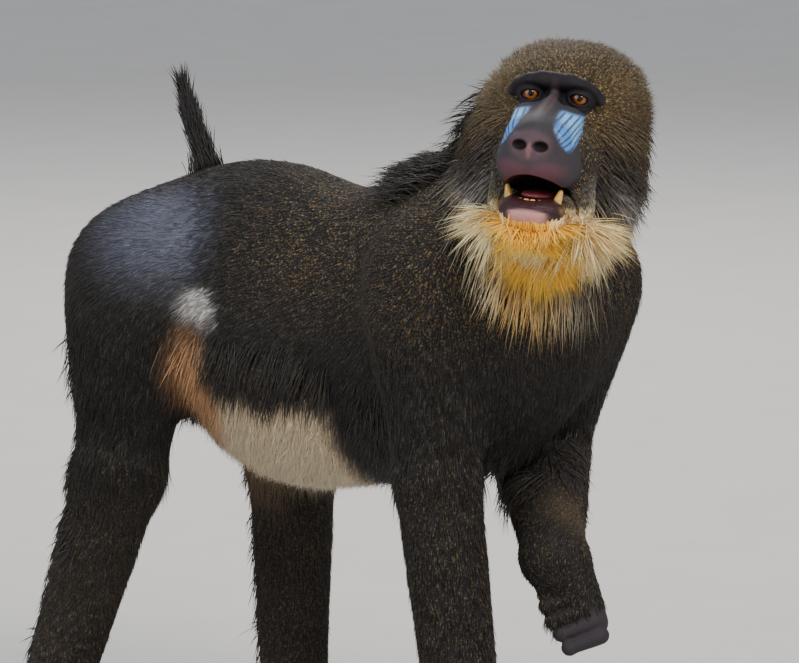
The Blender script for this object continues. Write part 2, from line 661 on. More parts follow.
def coat_colours(points):
    """Colour of the coat by its place on the body: dark with pale, golden, silver and blue-grey marks."""
    fold = mirrored(points)
    in_head = to_head(points)
    face = mirrored(in_head)
    ragged = sway(points, 0.022, 9)
    colour = np.tile(np.array((0.016, 0.0145, 0.0150)), (len(points), 1))
    sheen = near(fold, (0.080, 0.165, 0.470), (0.052, 0.050, 0.042), 0.7)
    colour = tinted(colour, sheen * 0.8, (0.175, 0.190, 0.265))
    silver = near(fold + ragged * 0.004, (0.098, 0.110, 0.416), (0.040, 0.021, 0.016), 0.6)
    colour = tinted(colour, silver * 0.85, (0.66, 0.63, 0.60))
    below = ease(points[:, 2] + ragged[:, 0] * 0.007, 0.362, 0.340)[:, None]
    along = ease(points[:, 1], -0.050, -0.020) * ease(points[:, 1], 0.155, 0.115)
    along = (along * ease(points[:, 2], 0.225, 0.250))[:, None]
    colour = tinted(colour, below * along * 0.97, (0.97, 0.77, 0.54))
    groin = near(fold, (0.080, 0.122, 0.350), (0.050, 0.030, 0.045), 0.4)
    colour = tinted(colour, groin * 0.9, (0.60, 0.32, 0.15))
    shin = ease(points[:, 2], 0.26, 0.15)[:, None] * (points[:, 1] > 0)[:, None]
    colour = tinted(colour, shin * 0.5, (0.045, 0.037, 0.030))
    inner = ease(points[:, 2], 0.33, 0.28) * ease(fold[:, 0], 0.064, 0.040) * (points[:, 1] > 0.12)
    inner = (inner * ease(points[:, 2], 0.19, 0.26))[:, None]
    colour = tinted(colour, inner * 0.7, (0.36, 0.25, 0.15))
    forearm = near(points, (0.020, -0.222, 0.262), (0.026, 0.026, 0.036), 0.6)
    colour = tinted(colour, forearm * 0.6, (0.125, 0.090, 0.045))
    chest = near(points, (0.0, -0.215, 0.400), (0.075, 0.060, 0.110), 0.5)
    colour = tinted(colour, chest * 0.5, (0.034, 0.030, 0.031))
    nape = near(points, (0.0, -0.130, 0.560), (0.09, 0.05, 0.06), 0.4)
    colour = tinted(colour, nape * 0.8, (0.014, 0.012, 0.012))
    on_head = near(in_head, (0.0, 0.045, -0.035), (0.085, 0.085, 0.095), 0.18)
    crown = np.tile(np.array((0.052, 0.037, 0.020)), (len(points), 1))
    temple = near(face, (0.045, 0.020, -0.008), (0.026, 0.036, 0.028), 0.5)
    crown = tinted(crown, temple * 0.7, (0.120, 0.086, 0.046))
    dark_cheek = near(face, (0.046, 0.000, -0.060), (0.030, 0.050, 0.026), 0.4)
    crown = tinted(crown, dark_cheek * 0.85, (0.034, 0.031, 0.032))
    low_ruff = ease(in_head[:, 2] + ragged[:, 1] * 0.004, -0.070, -0.094)[:, None]
    grey_ruff = (ease(in_head[:, 2], -0.052, -0.072) * ease(face[:, 0], 0.030, 0.045))[:, None]
    crown = tinted(crown, grey_ruff * 0.8, (0.34, 0.32, 0.30))
    crown = tinted(crown, low_ruff, (0.88, 0.76, 0.53))
    behind = ease(in_head[:, 1], 0.052, 0.085)[:, None]
    crown = tinted(crown, behind * 0.85, (0.016, 0.014, 0.014))
    colour = colour + (crown - colour) * on_head
    under_chin = near(in_head, (0, -0.02, -0.10), (0.060, 0.062, 0.05), 0.3)
    beard = ease(in_head[:, 2], -0.084, -0.092)[:, None] * under_chin
    colour = tinted(colour, beard, (0.95, 0.78, 0.46))
    golden = beard * ease(face[:, 0] + ragged[:, 2] * 0.003, 0.034, 0.014)[:, None]
    return tinted(colour, golden, (1.0, 0.50, 0.040))


def skin_colours(points, coat):
    """Colour of the skin: dark under the coat with the coat's markings, and the bare face, hands and rump."""
    in_head = to_head(points)
    face = mirrored(in_head)
    colour = coat * (0.55 + 0.35 * ease(coat.mean(axis=1, keepdims=True), 0.15, 0.50))
    bare = bare_share(in_head)[:, None]
    flesh = np.tile(np.array((0.036, 0.031, 0.037)), (len(points), 1))
    round_eyes = near(face, (HALF_EYES, -0.004, -0.002), (0.020, 0.020, 0.0135), 0.25)
    dark = np.maximum(ease(in_head[:, 2], -0.003, 0.003)[:, None], round_eyes)
    flesh = tinted(flesh, dark * 0.95, (0.007, 0.005, 0.007))
    bridge = near(in_head, (0, -0.034, -0.008), (0.0050, 0.034, 0.020), 0.4)
    flesh = tinted(flesh, bridge * 0.6, (0.100, 0.080, 0.090))
    scar = near(in_head, (0.0018, -0.034, -0.008), (0.0014, 0.030, 0.020), 0.5)
    flesh = tinted(flesh, scar * 0.7, (0.060, 0.022, 0.012))
    share, distance = along_line(face, *BLUE_LINE)
    blue = (ease(distance, 0.0155, 0.0115) * blue_limit(in_head))[:, None]
    flesh = tinted(flesh, blue, (0.075, 0.255, 0.66))
    pale_blue = blue * (ease(share, 0.0, 0.4) * ease(share, 1.0, 0.7))[:, None]
    flesh = tinted(flesh, pale_blue * 0.7, (0.27, 0.58, 0.98))
    nose = near(in_head, (0, -0.086, -0.0385), (0.0195, 0.013, 0.0125), 0.25)
    flesh = tinted(flesh, nose * 0.85, (0.080, 0.048, 0.056))
    septum = near(in_head, (0, -0.090, -0.0425), (0.0019, 0.010, 0.0060), 0.5)
    flesh = tinted(flesh, septum * 0.8, (0.26, 0.105, 0.110))
    lip = near(face, (0.012, -0.072, -0.058), (0.017, 0.020, 0.0075), 0.5) * (1.0 - nose)
    flesh = tinted(flesh, lip * 0.6, (0.145, 0.052, 0.070))
    opening = mouth_field(in_head)
    edge = ease(np.abs(opening), 0.0040, 0.0012)[:, None] * ease(in_head[:, 2], -0.080, -0.072)[:, None]
    flesh = tinted(flesh, edge * 0.6, (0.17, 0.045, 0.048))
    chin = (ease(in_head[:, 2], -0.0880, -0.0935) * ease(in_head[:, 1], -0.030, -0.048)
            * ease(face[:, 0], 0.0190, 0.0110))[:, None]
    flesh = tinted(flesh, chin * 0.9, (0.60, 0.30, 0.275))
    lower_lip = near(in_head, (0, -0.062, -0.0845), (0.026, 0.016, 0.0040), 0.3)
    flesh = tinted(flesh, lower_lip * 0.8, (0.075, 0.034, 0.044))
    corner = near(face, (0.030, -0.030, -0.080), (0.014, 0.030, 0.014), 0.4)
    flesh = tinted(flesh, corner * 0.85, (0.018, 0.014, 0.016))
    nostril = near(face, (0.0088, -0.0850, -0.0390), (0.0060, 0.0072, 0.0042), 0.2)
    flesh = tinted(flesh, nostril * 0.95, (0.012, 0.006, 0.007))
    within = (ease(opening, 0.0005, -0.0015) * ease(in_head[:, 1], -0.092, -0.078))[:, None]
    flesh = tinted(flesh, within * 0.96, (0.030, 0.006, 0.008))
    colour = colour + (flesh - colour) * bare
    paw = paw_share(points)[:, None]
    colour = tinted(colour, paw, (0.028, 0.023, 0.027))
    rump = rump_share(points)[:, None]
    colour = tinted(colour, rump, (0.25, 0.24, 0.37))
    fold = mirrored(points)
    cleft = near(fold, (0.0, 0.300, 0.420), (0.018, 0.03, 0.040), 0.5)
    colour = tinted(colour, cleft * rump, (0.46, 0.20, 0.24))
    seat = near(fold, (0.024, 0.302, 0.392), (0.015, 0.03, 0.014), 0.2)
    return tinted(colour, seat * rump, (0.42, 0.30, 0.30))


def paw_share(points):
    """1 on the bare part of hands and feet: fingers, palms and soles."""
    share = np.zeros(len(points))
    for side in "rl":
        ankle = np.array(ANKLE[side])
        toes = ease(points[:, 1], ankle[1] - 0.055, ankle[1] - 0.080)
        sole = ease(points[:, 2], 0.020, 0.010)
        across = np.abs(points[:, 0] - ankle[0])
        ahead = np.abs(points[:, 1] - ankle[1] + 0.04)
        close = (across < 0.06) & (points[:, 2] < 0.05) & (ahead < 0.13)
        share = np.maximum(share, np.maximum(toes, sole) * close)
    wrist = np.array(WRIST["r"])
    fingers = ease(points[:, 1], wrist[1] - 0.040, wrist[1] - 0.058)
    palm = ease(points[:, 2], 0.016, 0.008)
    close = (np.abs(points[:, 0] - wrist[0]) < 0.06) & (points[:, 2] < 0.06) & (points[:, 1] < -0.15)
    share = np.maximum(share, np.maximum(fingers, palm) * close)
    offset = points - np.array(WRIST["l"])
    along = offset @ (PALM_ALONG / np.linalg.norm(PALM_ALONG))
    close = np.linalg.norm(offset, axis=1) < 0.12
    fingers = ease(along, 0.048, 0.060)
    palm = ease(offset @ PALM_OUT, -0.004, -0.012) * ease(along, 0.005, 0.020)
    return np.maximum(share, np.maximum(fingers, palm) * close * (offset[:, 2] < 0.01))


def rump_share(points):
    """1 on the bare skin of the rump, below and beside the tail."""
    fold = mirrored(points)
    return near(fold, (0.0, 0.305, 0.410), (0.052, 0.050, 0.060), 0.18)[:, 0]


skin = add_piece("skin", skin_points, skin_faces)
skin_material, tree, shader = start_material("hide", Roughness=0.55, Specular_IOR_Level=0.22)
add_numbers(skin.data, "tint", "FLOAT_COLOR", skin_colours(skin_points, coat_colours(skin_points)))
skin_in_head = to_head(skin_points)
skin_bare = bare_share(skin_in_head)
face_fold = mirrored(skin_in_head)
ridge_first = np.array(GROOVE_LINE[0])
ridge_run = np.array(GROOVE_LINE[1]) - ridge_first
ridge_run = ridge_run / np.linalg.norm(ridge_run)
ridge_up = np.array((0.0, 0.0, 1.0)) - ridge_run * ridge_run[2]
ridge_up = ridge_up / np.linalg.norm(ridge_up)
ridge_out = np.cross(ridge_up, ridge_run)
ridge_out = ridge_out * np.sign(ridge_out[0])
ridge_offset = face_fold - ridge_first
ridge_angle = np.degrees(np.arctan2(ridge_offset @ ridge_up, ridge_offset @ ridge_out))
_, ridge_distance = along_line(face_fold, *BLUE_LINE)
ridge_share = ease(ridge_distance, 0.0165, 0.0125) * blue_limit(skin_in_head) * skin_bare
bare_skin = np.maximum(np.maximum(skin_bare, paw_share(skin_points)), rump_share(skin_points))
mouth_depth = ease(mouth_field(skin_in_head), 0.0, -0.002) * skin_bare
add_numbers(skin.data, "groove", "FLOAT", ridge_angle / GROOVE_DEGREES + 0.25)
add_numbers(skin.data, "ridged", "FLOAT", ridge_share)
add_numbers(skin.data, "bare", "FLOAT", bare_skin)
add_numbers(skin.data, "wet", "FLOAT", mouth_depth)
tint = node(tree, "ShaderNodeAttribute", {"attribute_name": "tint"})
groove, ridged, bare, wet = (node(tree, "ShaderNodeAttribute", {"attribute_name": name}, output=2)
                             for name in ("groove", "ridged", "bare", "wet"))
place = node(tree, "ShaderNodeTexCoord", output=3)
mottle = noise(tree, place, 160.0, 5.0, Roughness=0.6)
pores = node(tree, "ShaderNodeTexVoronoi", {"feature": "DISTANCE_TO_EDGE"}, {"Vector": place, "Scale": 900.0})
creases = noise(tree, place, 420.0, 4.0, Distortion=1.5)
wave = (groove * (2.0 * math.pi)).maths("SINE")
line = (wave + (mottle - 0.5) * 1.8).smooth(0.25, 0.95) * ridged
colour = mix(tree, line * 0.85, tint, (0.040, 0.045, 0.085))
colour = mix(tree, (mottle - 0.35) * 0.55, colour, (0.026, 0.019, 0.023))
feed(shader, "Base Color", mix(tree, ridged * mottle.smooth(0.50, 0.75) * 0.25, colour, (0.62, 0.80, 0.95)))
feed(shader, "Roughness", 0.68 - wet * 0.48 - pores.smooth(0.0, 0.4) * bare * 0.10)
height = (1.0 - line) * ridged * 1.6 + creases * bare * 0.30 + pores.smooth(0.0, 0.25) * bare * 0.16
bump = node(tree, "ShaderNodeBump", (), {"Height": height, "Distance": 0.0009, "Strength": 0.9})
feed(shader, "Normal", bump)
skin.data.materials.append(skin_material)
FLESH = ["belly", "chest", "neck", "pelvis", "head", "jaw", "tail"]
for part in ("ear_", "foot_", "forearm_", "hand_", "shank_", "thigh_", "upper_arm_"):
    FLESH += [part + "r", part + "l"]
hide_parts(*FLESH)
bpy.context.view_layer.objects.active = skin
skin.select_set(True)
skin.data.uv_layers.new(name="OFBake")
bpy.ops.object.mode_set(mode="EDIT")
bpy.ops.mesh.select_all(action="SELECT")
bpy.ops.uv.smart_project(angle_limit=math.radians(66), island_margin=0.002)
bpy.ops.object.mode_set(mode="OBJECT")


# Coat: tufts of stiff outer hair over the skin, each a thin solid spike whose root sits in the skin. They lie
# back along the body and overlap like slates. Short tufts are straight, and the long locks further on bend.
chance = np.random.default_rng(7)
TINY = 1e-12
SECTION = ((0.5, 0.0), (-0.5, 0.0), (0.0, 0.40))
FLOOR_GAP = 0.0004
skin_mesh = skin.data
corner_start = np.empty(len(skin_mesh.polygons), np.int32)
corner_total = np.empty(len(skin_mesh.polygons), np.int32)
skin_mesh.polygons.foreach_get("loop_start", corner_start)
skin_mesh.polygons.foreach_get("loop_total", corner_total)
corner_vertex = np.empty(len(skin_mesh.loops), np.int32)
skin_mesh.loops.foreach_get("vertex_index", corner_vertex)
corner_uv = np.empty(len(skin_mesh.loops) * 2, np.float32)
skin_mesh.uv_layers["OFBake"].data.foreach_get("uv", corner_uv)
corner_uv = corner_uv.reshape(-1, 2)
point_normals = np.empty(len(skin_mesh.vertices) * 3, np.float32)
skin_mesh.vertices.foreach_get("normal", point_normals)
point_normals = point_normals.reshape(-1, 3)
triangles = np.concatenate([corner_start[corner_total >= 3][:, None] + np.array((0, 1, 2)),
                            corner_start[corner_total == 4][:, None] + np.array((0, 2, 3))])
triangle_points = skin_points[corner_vertex[triangles]]
triangle_area = np.linalg.norm(np.cross(triangle_points[:, 1] - triangle_points[:, 0],
                                        triangle_points[:, 2] - triangle_points[:, 0]), axis=1) / 2
triangle_middle = triangle_points.mean(axis=1)


def lie_of_coat(points):
    """Which way the hair lies: back and down over the trunk, down the limbs, out and down from the face."""
    way = np.tile(np.array((0.0, 1.0, -0.40)), (len(points), 1))
    low = ease(points[:, 2], 0.44, 0.34)[:, None]
    way = way + (np.array((0.0, 0.45, -1.0)) - way) * low
    front = ease(points[:, 1], -0.16, -0.21)[:, None]
    way = way + (np.array((0.0, 0.05, -1.0)) - way) * front
    for side in "rl":
        bones = ((HIP[side], KNEE[side], 0.095), (KNEE[side], ANKLE[side], 0.060),
                 (SHOULDER[side], ELBOW[side], 0.080), (ELBOW[side], WRIST[side], 0.055))
        for first, second, reach in bones:
            share, distance = along_line(points, first, second)
            hold = (ease(distance, reach, reach * 0.7) * ease(share, 0.0, 0.35))[:, None]
            run = unit(np.array(second) - np.array(first)) + np.array((0.0, 0.15, 0.0))
            way = way + (run - way) * hold
    _, distance = along_line(points, TAIL_ROUTE[0], TAIL_ROUTE[-1])
    hold = (ease(distance, 0.030, 0.020) * ease(points[:, 2], 0.495, 0.515))[:, None]
    way = way + (unit(np.array(TAIL_ROUTE[-1]) - np.array(TAIL_ROUTE[0])) - way) * hold
    in_head = to_head(points)
    out = in_head[:, 0] / (np.abs(in_head[:, 0]) + 0.012)
    upper = ease(in_head[:, 2], -0.030, 0.015)
    lower = ease(in_head[:, 2], -0.060, -0.095)
    head_way = np.stack([out * (0.90 - 0.20 * upper - 0.45 * lower), 0.30 + 0.45 * upper - 0.40 * lower,
                         -0.40 + 1.05 * upper - 0.75 * lower], axis=1)
    head_way[:, 2] -= 0.9 * ease(in_head[:, 1], 0.060, 0.100)
    on_head = near(in_head, (0.0, 0.040, -0.045), (0.092, 0.105, 0.105), 0.15)
    return way + (head_way @ HEAD_TURN.T - way) * on_head


def constant(value):
    """The value itself where it is a function of points, or else a function that gives it at every point."""
    return value if callable(value) else lambda points: value


def tufts(name, count, density, length, width, lift, rings=1, droop=0.15, clump=0.30,
          tick=0.5, lie=lie_of_coat, hug=1.0):
    """A mat of tufts. Roots are drawn by area and density over the skin. Along s from 0 to 1 the spine is
    root + length (ahead s + bend s s), and its three-sided section shrinks to nothing at the tip. With one
    ring a tuft is a straight spike, with three it follows its bend. hug presses its way to the skin.
    """
    lift = constant(lift)
    tick = constant(tick)
    weight = triangle_area * density(triangle_middle)
    picked = chance.choice(len(weight), count, p=weight / weight.sum())
    first, second = np.sqrt(chance.random(count)), chance.random(count)
    shares = np.stack([1 - first, first * (1 - second), first * second], axis=1)[:, :, None]
    root = (triangle_points[picked] * shares).sum(axis=1)
    normal = unit((point_normals[corner_vertex[triangles[picked]]] * shares).sum(axis=1))
    patch = (corner_uv[triangles[picked]] * shares).sum(axis=1)
    way = unit(lie(root)) + sway(root, 0.030, 3) * clump + chance.normal(0.0, 0.10, (count, 3))
    way = unit(way - normal * (way * normal).sum(axis=1, keepdims=True) * hug)
    raised = lift(root) * chance.uniform(0.7, 1.3, count)
    long = length(root) * chance.uniform(0.75, 1.20, count)
    wide = width * chance.uniform(0.75, 1.25, count)
    ahead = unit(way + normal * raised[:, None])
    bend = -normal * 0.45 * (ahead * normal).sum(axis=1, keepdims=True) + np.array((0.0, 0.0, -droop))
    bend = bend + chance.normal(0.0, 0.07, (count, 3))
    side = unit(np.cross(ahead, normal) + chance.normal(0.0, 0.25, (count, 3)))
    thick = unit(np.cross(side, ahead))
    colour = coat_colours(root)
    shade = chance.uniform(0.70, 1.25, (count, 1)) * (1.0 + 0.25 * sway(root, 0.012, 5)[:, :1])
    speckle = tick(root) * ease(colour.mean(axis=1), 0.25, 0.12)
    stations = {1: (-0.10,), 3: (-0.06, 0.30, 0.66)}[rings]
    girths = {1: (1.0,), 3: (0.75, 1.0, 0.70)}[rings]
    pale = ease(colour.mean(axis=1, keepdims=True), 0.15, 0.50)
    shade = shade + (1.0 - shade) * pale * 0.5
    points, tints, patches = [], [], []
    for along, girth in zip(stations + (1.0,), girths + (0.0,)):
        spine = root + (ahead * along + bend * max(along, 0.0) ** 2) * long[:, None]
        foot = 0.55 + 0.37 * pale
        tone = colour * shade * (foot + (1.15 - foot) * max(along, 0.0))
        offsets = SECTION if girth else ((0.0, 0.0),)
        for across, rise in offsets:
            beside = side * (wide * girth * across)[:, None]
            points.append(spine + beside + thick * (wide * girth * rise)[:, None])
            tints.append(tone)
            patches.append(patch + np.array((across, max(along, 0.0) - 0.5)) * 0.003)
    corners = len(points)
    points = np.stack(points, axis=1).reshape(-1, 3)
    points[:, 2] = np.maximum(points[:, 2], FLOOR_GAP)
    patches = np.stack(patches, axis=1).reshape(-1, 2)
    tints = np.clip(np.stack(tints, axis=1).reshape(-1, 3), 0.0, 1.0)
    step = np.arange(count)[:, None, None] * corners
    tip = 3 * rings
    threes = np.array([(0, 2, 1)] + [(tip - 3 + k, tip - 3 + (k + 1) % 3, tip) for k in range(3)])
    fours = np.array([(3 * r + k, 3 * r + (k + 1) % 3, 3 * r + 3 + (k + 1) % 3, 3 * r + 3 + k)
                      for r in range(rings - 1) for k in range(3)], int).reshape(-1, 4)
    faces = [(threes[None] + step).reshape(-1, 3), (fours[None] + step).reshape(-1, 4)]
    piece = add_piece(name, points, faces, coat_material)
    layer = piece.data.uv_layers.new(name="OFBake")
    loops = np.concatenate([group.ravel() for group in faces])
    layer.data.foreach_set("uv", np.clip(patches[loops], 0.001, 0.999).astype(np.float32).ravel())
    add_numbers(piece.data, "tint", "FLOAT_COLOR", tints)
    add_numbers(piece.data, "speckle", "FLOAT", np.repeat(speckle, corners))


coat_material, tree, shader = start_material("outer hair", Roughness=0.50, Specular_IOR_Level=0.40)
tint = node(tree, "ShaderNodeAttribute", {"attribute_name": "tint"})
place = node(tree, "ShaderNodeTexCoord", output=3)
streak = noise(tree, place, 900.0, 2.0)
speckle = node(tree, "ShaderNodeAttribute", {"attribute_name": "speckle"}, output=2)
flecks = noise(tree, place, 520.0, 1.0)
broad = noise(tree, place, 38.0, 3.0)
colour = mix(tree, streak.smooth(0.35, 0.70) * 0.18, tint, (0.012, 0.010, 0.009))
colour = mix(tree, broad.smooth(0.50, 0.75) * 0.05, colour, (0.16, 0.12, 0.08))
feed(shader, "Base Color", mix(tree, flecks.smooth(0.52, 0.66) * speckle, colour, (0.46, 0.29, 0.10)))
feed(shader, "Roughness", 0.55 + streak * 0.25)


def head_share(points):
    """1 on the head, 0 on the body."""
    return near(to_head(points), (0.0, 0.040, -0.040), (0.088, 0.100, 0.100), 0.12)[:, 0]


def open_share(points):
    """1 where the coat is full, 0 on bare face, palms, soles and rump."""
    in_head = to_head(points)
    return ((1.0 - ease(bare_share(in_head), 0.3, 0.7)) * (1.0 - ease(paw_share(points), 0.3, 0.7))
            * (1.0 - ease(rump_share(points), 0.4, 0.8)) * (points[:, 2] > 0.006))


def limb_share(points):
    """1 on the lower limbs."""
    hind = ease(points[:, 2], 0.30, 0.25) * (points[:, 1] > 0.10)
    fore = ease(points[:, 2], 0.345, 0.300) * (points[:, 1] < -0.09)
    return np.maximum(hind, fore)


def body_length(points):
    """Length of the body's coat: short on back and shoulders, longer low on the flanks."""
    flank = ease(points[:, 2], 0.42, 0.34) * ease(points[:, 1], -0.10, -0.03)
    return 0.0125 + 0.0095 * flank + 0.004 * ease(points[:, 2], 0.36, 0.30)


def off_tail_tip(points):
    """0 on the end of the tail, whose hair is its own piece."""
    _, distance = along_line(points, TAIL_ROUTE[0], TAIL_ROUTE[-1])
    return 1.0 - (distance < 0.025) * (points[:, 2] > 0.550)


def body_tick(points):
    """Share of tufts with pale tips: most on neck, shoulders and back, few low on the flanks."""
    return 0.08 + 0.30 * ease(points[:, 2], 0.38, 0.47) * ease(points[:, 1], 0.12, 0.02)


def limb_length(points):
    """Length of the coat on lower limbs: it shortens towards wrists and ankles."""
    raised = ease(np.linalg.norm(points - np.array(WRIST["l"]), axis=1), 0.030, 0.080)
    return 0.0060 + 0.0070 * ease(points[:, 2], 0.06, 0.20) * raised


def trunk_share(points):
    """1 on the haired trunk, without head, lower limbs and the tail's end."""
    share = open_share(points) * (1 - head_share(points)) * (1 - limb_share(points))
    return share * off_tail_tip(points)


def lower_limb_share(points):
    """1 on the haired lower limbs, above the floor."""
    share = open_share(points) * (1 - head_share(points)) * limb_share(points)
    return share * ease(points[:, 2], 0.020, 0.040)


BODY_PARTS = (
    ("coat_of_the_right_side", lambda p: p[:, 0] < -0.020, 45000),
    ("coat_of_the_left_side", lambda p: p[:, 0] > 0.020, 40000),
    ("coat_of_back_and_underside", lambda p: np.abs(p[:, 0]) <= 0.025, 25000),
)
for name, part, count in BODY_PARTS:
    tufts(name, count, lambda p: part(p) * trunk_share(p) + TINY, body_length, 0.0015, 0.20, tick=body_tick)
LIMB_PARTS = (
    ("coat_of_the_legs", lambda p: p[:, 1] > 0.0, 40000),
    ("coat_of_the_arms", lambda p: p[:, 1] < 0.0, 28000),
)
for name, part, count in LIMB_PARTS:
    tufts(name, count, lambda p: part(p) * lower_limb_share(p), limb_length, 0.0013, 0.20, tick=0.20)


# Head hair: short speckled hair on crown, temples and cheeks, a longer ruff that stands off behind the
# cheeks, and the beard of bent locks under the jaw. All of it is rooted in the skin.
def face_angle(points):
    """Angle round the face in degrees, 0 at the crown and 180 at the chin."""
    in_head = to_head(points)
    return np.degrees(np.arctan2(np.abs(in_head[:, 0]), in_head[:, 2] + 0.030))


def off_ears(points):
    """0 on the ear cups."""
    return ease(ear_field(to_head(points).astype(float)), 0.0004, 0.0012)


def crown_length(points):
    """Length of the hair near the face, growing away from it."""
    in_head = to_head(points)
    behind = ease(in_head[:, 1], -0.02, 0.05)
    halo = np.interp(face_angle(points), (0, 30, 60, 95, 140), (0.0170, 0.0165, 0.0225, 0.0230, 0.0150))
    return 0.0045 + (halo - 0.0045) * behind


def crown_lift(points):
    """The hair stands off more at the temples than at the brow."""
    return 0.30 + 1.00 * ease(to_head(points)[:, 1], 0.0, 0.04) * ease(face_angle(points), 0.0, 40.0)


def head_hair(points):
    """1 on the haired head without the ear cups."""
    return head_share(points) * open_share(points) * off_ears(points)


def cheek_place(points):
    """The sides of the head below the temples, down to the jaw."""
    return head_hair(points) * (face_angle(points) >= 70) * (to_head(points)[:, 2] > -0.105)


tufts("hair_of_the_crown", 40000, lambda p: head_hair(p) * (face_angle(p) < 75) + TINY,
      crown_length, 0.0011, crown_lift, droop=0.02, tick=0.85)
tufts("hair_of_the_cheeks", 28000, cheek_place,
      crown_length, 0.0011, lambda p: 0.6 * crown_lift(p), droop=0.08, tick=0.50)


def ruff_length(points):
    """Length of the ruff by the angle round the face, from 10 mm at the brow to 56 mm under the jaw."""
    angles = (0, 50, 75, 105, 135, 160, 180)
    lengths = (0.010, 0.014, 0.026, 0.032, 0.042, 0.052, 0.056)
    behind = ease(to_head(points)[:, 1], -0.01, 0.025)
    return np.interp(face_angle(points), angles, lengths) * (0.45 + 0.55 * behind)


def ruff_place(points):
    """Where the ruff grows: a band behind the face, from the cheeks down round the jaw."""
    in_head = to_head(points)
    band = ease(in_head[:, 1], 0.002, 0.016) * ease(in_head[:, 1], 0.085, 0.060)
    return head_hair(points) * band * ease(face_angle(points), 55, 80)


tufts("ruff", 9000, ruff_place, ruff_length, 0.0014, 0.45,
      rings=3, droop=0.30, clump=0.22, tick=0.2)


def beard_place(points):
    """Where the beard grows: under the chin and jaw."""
    in_head = to_head(points)
    under = near(in_head, (0.0, -0.020, -0.103), (0.042, 0.045, 0.024), 0.3)[:, 0]
    return under * ease(in_head[:, 2], -0.0945, -0.0985) * ease(in_head[:, 1], -0.066, -0.056)


def beard_lie(points):
    """The beard falls down and out at its sides, a little back near the throat."""
    in_head = to_head(points)
    way = np.stack([in_head[:, 0] * 12.0, 0.25 + in_head[:, 1] * 3.0, np.full(len(points), -1.0)], axis=1)
    return way @ HEAD_TURN.T


def beard_length(points):
    """30 mm at the chin, 49 mm further back."""
    return 0.030 + 0.019 * ease(to_head(points)[:, 1], -0.060, -0.020)


tufts("beard", 8000, beard_place, beard_length, 0.0014, 0.12,
      rings=3, droop=0.30, clump=0.16, tick=0.0, lie=beard_lie)


# Mane and fringes: long dark locks that bend, on the nape, behind the elbows, along the flanks and down the
# hams, and the finer tuft of the tail. They are rooted in the skin among the short coat.
def nape_place(points):
    """The nape from the back of the head to the shoulders."""
    patch = near(points, (-0.010, -0.130, 0.570), (0.090, 0.065, 0.060), 0.3)[:, 0]
    return patch * ease(to_head(points)[:, 1], 0.070, 0.095)


def nape_lie(points):
    """The nape's hair runs back, and its lift makes it stand up."""
    return np.tile(np.array((0.0, 1.0, 0.05)), (len(points), 1))


tufts("mane_of_the_nape", 5500, nape_place, lambda p: 0.030 + 0.028 * ease(p[:, 2], 0.50, 0.57), 0.0014, 0.90,
      rings=3, droop=0.12, clump=0.35, tick=0.1, lie=nape_lie)


def fringe_place(points):
    """Behind the elbows, low on the flanks, and down the back of the hind legs."""
    fold = mirrored(points)
    elbow = near(fold, (0.080, -0.105, 0.325), (0.030, 0.040, 0.040), 0.3)[:, 0]
    flank = near(fold, (0.092, 0.045, 0.378), (0.030, 0.085, 0.018), 0.3)[:, 0] * 1.5
    ham = np.zeros(len(points))
    for side in "rl":
        for first, second in ((HIP[side], KNEE[side]), (KNEE[side], ANKLE[side])):
            share, distance = along_line(points, first, second)
            behind = points[:, 1] - (first[1] + (second[1] - first[1]) * share)
            hold = ease(distance, 0.10, 0.07) * ease(behind, 0.010, 0.030) * ease(share, 0.1, 0.3)
            ham = np.maximum(ham, hold)
    ham = ham * ease(points[:, 2], 0.06, 0.10) * ease(points[:, 2], 0.40, 0.33)
    under = near(points, (0.0, -0.130, 0.300), (0.075, 0.070, 0.035), 0.3)[:, 0]
    return np.maximum(np.maximum(elbow, flank), np.maximum(ham * 0.7, under * 0.6))


def fringe_lie(points):
    """Fringes fall back and down, further back behind the hind legs, and outwards at the left elbow."""
    behind = ease(points[:, 1], 0.10, 0.16)[:, None]
    outward = (ease(points[:, 0], 0.04, 0.07) * ease(points[:, 1], -0.06, -0.10))[:, None]
    way = np.array((0.0, 0.30, -1.0)) + np.array((0.0, 0.45, 0.35)) * behind
    return way + np.array((0.60, -0.75, 0.25)) * outward


tufts("fringes", 6000, fringe_place, lambda p: 0.026 + 0.014 * ease(p[:, 2], 0.33, 0.37), 0.0013, 0.30,
      rings=3, droop=0.20, clump=0.40, tick=0.10, lie=fringe_lie)


TAIL_POINT = np.array((-0.001, 0.235, 0.626))


def tail_place(points):
    """The tail from above its root to just under its tip."""
    _, distance = along_line(points, TAIL_ROUTE[0], TAIL_ROUTE[-1])
    return ease(distance, 0.018, 0.015) * ease(points[:, 2], 0.508, 0.530) * (points[:, 2] < 0.577) + TINY


def tail_lie(points):
    """The tail's hair runs to a point past its tip."""
    return unit(TAIL_POINT - points)


def tail_length(points):
    """Long enough for the point, or 34 mm where the root is further off."""
    return np.minimum(0.034, 0.80 * np.linalg.norm(TAIL_POINT - points, axis=1))


tufts("tail_tuft", 1600, tail_place, tail_length, 0.0014, 0.06,
      rings=3, droop=0.0, clump=0.05, tick=0.05, lie=tail_lie, hug=0.0)


# Hands and feet: short thin straight hair on the backs of hands and feet, down to the knuckles, rooted in the
# skin. Palms, soles and the ends of fingers and toes stay bare.
def back_of_paw(points):
    """The backs of hands and feet between wrist or ankle and the knuckles."""
    low = ease(points[:, 2], 0.065, 0.055) * (points[:, 2] > 0.012)
    offset = np.linalg.norm(points - np.array(WRIST["l"]), axis=1)
    return open_share(points) * np.maximum(low, ease(offset, 0.075, 0.060))


tufts("hair_of_hands_and_feet", 8000, back_of_paw, lambda p: np.full(len(p), 0.0055), 0.0009, 0.15, tick=0.2)


